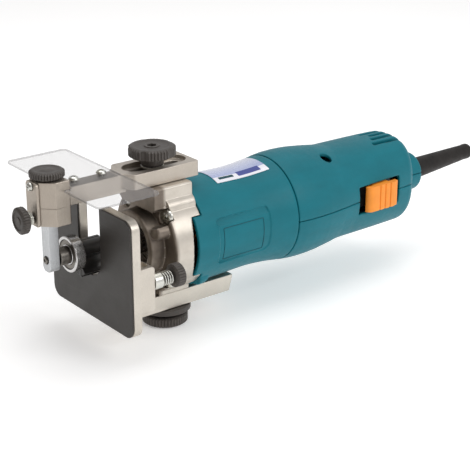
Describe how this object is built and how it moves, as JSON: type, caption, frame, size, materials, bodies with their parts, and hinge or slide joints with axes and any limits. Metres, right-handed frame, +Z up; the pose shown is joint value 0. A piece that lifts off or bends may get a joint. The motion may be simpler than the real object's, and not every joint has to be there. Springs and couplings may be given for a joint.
{
  "type": "hand-held edge trimmer",
  "caption": "Hand-held electric edge trimmer: cylindrical motor body, flat base plate with a cutter notch, and a forward guide arm with an adjustable guide bearing.",
  "frame": {"origin": "front face of the base plate, on its vertical mid-line, 26 mm below the spindle axis", "axes": "+X from the base plate rearwards along the motor to the cable; +Z up, from the clamp knob under the nose to the guide arm; -Y the side with the switch"},
  "size_m": [0.3747, 0.1045, 0.1175],
  "materials": {
    "black_facing": "low-friction laminate facing",
    "black_plastic": "moulded plastic",
    "black_rubber": "soft moulded rubber",
    "brass": "pressed brass",
    "carbon": "pressed carbon",
    "cast_aluminium": "satin machined die casting",
    "clear_plastic": "clear sheet",
    "copper": "enamelled copper wire and copper segments",
    "iron_laminations": "stacked iron sheets",
    "knob_plastic": "dark moulded plastic",
    "label_film": "printed film",
    "orange_plastic": "smooth moulded plastic",
    "polished_steel": "ground and polished steel",
    "teal_plastic": "moulded glass-filled plastic with a fine grain",
    "tool_steel": "dark ground tool steel",
    "zinc_steel": "bright zinc-plated steel"
  },
  "bodies": {
    "motor_unit": {"nose_casting": "cast_aluminium", "nose_screw_1": "zinc_steel", "nose_screw_2": "zinc_steel", "nose_screw_3": "zinc_steel", "nose_screw_4": "zinc_steel", "motor_housing": "teal_plastic", "label": "label_film", "handle_upper": "teal_plastic", "handle_lower": "teal_plastic", "handle_screw_near": "zinc_steel", "handle_screw_far": "zinc_steel", "switch_body": "black_plastic", "bend_sleeve": "black_rubber", "spindle_bearing": "polished_steel", "rear_bearing": "polished_steel", "bearing_bracket": "black_plastic", "stator_core": "iron_laminations", "field_coil_upper": "copper", "field_coil_lower": "copper", "brush_holder_near": "brass", "brush_holder_far": "brass", "carbon_brush_near": "carbon", "carbon_brush_far": "carbon", "capacitor": "black_plastic", "cable_clamp": "black_plastic"},
    "rotor": {"rotor_shaft": "polished_steel", "collet_nut": "zinc_steel", "collet": "polished_steel", "cutter_bit": "tool_steel", "cooling_fan": "black_plastic", "armature_core": "iron_laminations", "armature_windings": "copper", "commutator": "copper"},
    "switch": {"switch_button": "orange_plastic"},
    "base": {"base_bracket": "cast_aluminium", "base_facing": "black_facing", "depth_bush": "zinc_steel", "depth_spring": "zinc_steel"},
    "depth_screw": {"depth_knob": "knob_plastic"},
    "base_clamp": {"base_clamp_knob": "knob_plastic", "base_clamp_washer": "knob_plastic"},
    "guide_clamp": {"guide_clamp_knob": "knob_plastic", "guide_clamp_washer": "zinc_steel"},
    "guide": {"guide_arm": "cast_aluminium", "chip_shield": "clear_plastic", "shield_screw_front": "zinc_steel", "shield_screw_rear": "zinc_steel", "guide_post": "cast_aluminium", "post_cover": "cast_aluminium", "post_cover_screw": "zinc_steel", "side_lock_spring": "zinc_steel"},
    "side_lock": {"side_lock_knob": "knob_plastic"},
    "fine_adjust": {"fine_adjust_knob": "knob_plastic", "fine_adjust_screw": "zinc_steel"},
    "slide_bar": {"slide_bar": "polished_steel", "bearing_pin": "zinc_steel", "bearing_inner_ring": "polished_steel"},
    "guide_bearing": {"bearing_outer_ring": "polished_steel", "bearing_shield": "zinc_steel", "bearing_ball_cage": "polished_steel"}
  },
  "joints": [
    {"name": "spindle_spin", "type": "hinge", "parent": "motor_unit", "child": "rotor", "pos_m": [0.08, 0, 0.026], "axis": [1, 0, 0], "continuous": true},
    {"name": "switch_slide", "type": "slide", "parent": "motor_unit", "child": "switch", "axis": [-1, 0, 0], "range_m": [0, 0.0055]},
    {"name": "base_slide", "type": "slide", "parent": "motor_unit", "child": "base", "axis": [1, 0, 0], "range_m": [-0.01, 0.01]},
    {"name": "depth_screw_turn", "type": "hinge", "parent": "base", "child": "depth_screw", "pos_m": [0.0345, -0.04, 0.018], "axis": [1, 0, 0], "range_deg": [-1080, 1080]},
    {"name": "base_clamp_turn", "type": "hinge", "parent": "motor_unit", "child": "base_clamp", "pos_m": [0.0535, 0, -0.028], "axis": [0, 0, -1], "range_deg": [0, 540]},
    {"name": "guide_clamp_turn", "type": "hinge", "parent": "motor_unit", "child": "guide_clamp", "pos_m": [0.0465, 0, 0.0827], "axis": [0, 0, 1], "range_deg": [0, 540]},
    {"name": "guide_slide", "type": "slide", "parent": "motor_unit", "child": "guide", "axis": [1, 0, 0], "range_m": [-0.014, 0]},
    {"name": "side_lock_turn", "type": "hinge", "parent": "guide", "child": "side_lock", "pos_m": [-0.0438, 0, 0.0585], "axis": [-1, 0, 0], "range_deg": [0, 720]},
    {"name": "fine_adjust_turn", "type": "hinge", "parent": "guide", "child": "fine_adjust", "pos_m": [-0.026, 0, 0.0833], "axis": [0, 0, 1], "range_deg": [-1442, 1442]},
    {"name": "slide_bar_travel", "type": "slide", "parent": "guide", "child": "slide_bar", "axis": [0, 0, 1], "range_m": [-0.004, 0.004]},
    {"name": "bearing_spin", "type": "hinge", "parent": "slide_bar", "child": "guide_bearing", "pos_m": [-0.0122, 0, 0.0305], "axis": [1, 0, 0], "continuous": true}
  ],
  "couplings": [
    {"joint": "fine_adjust_turn", "follows": "slide_bar_travel", "rad_per_m": 6283.2}
  ]
}
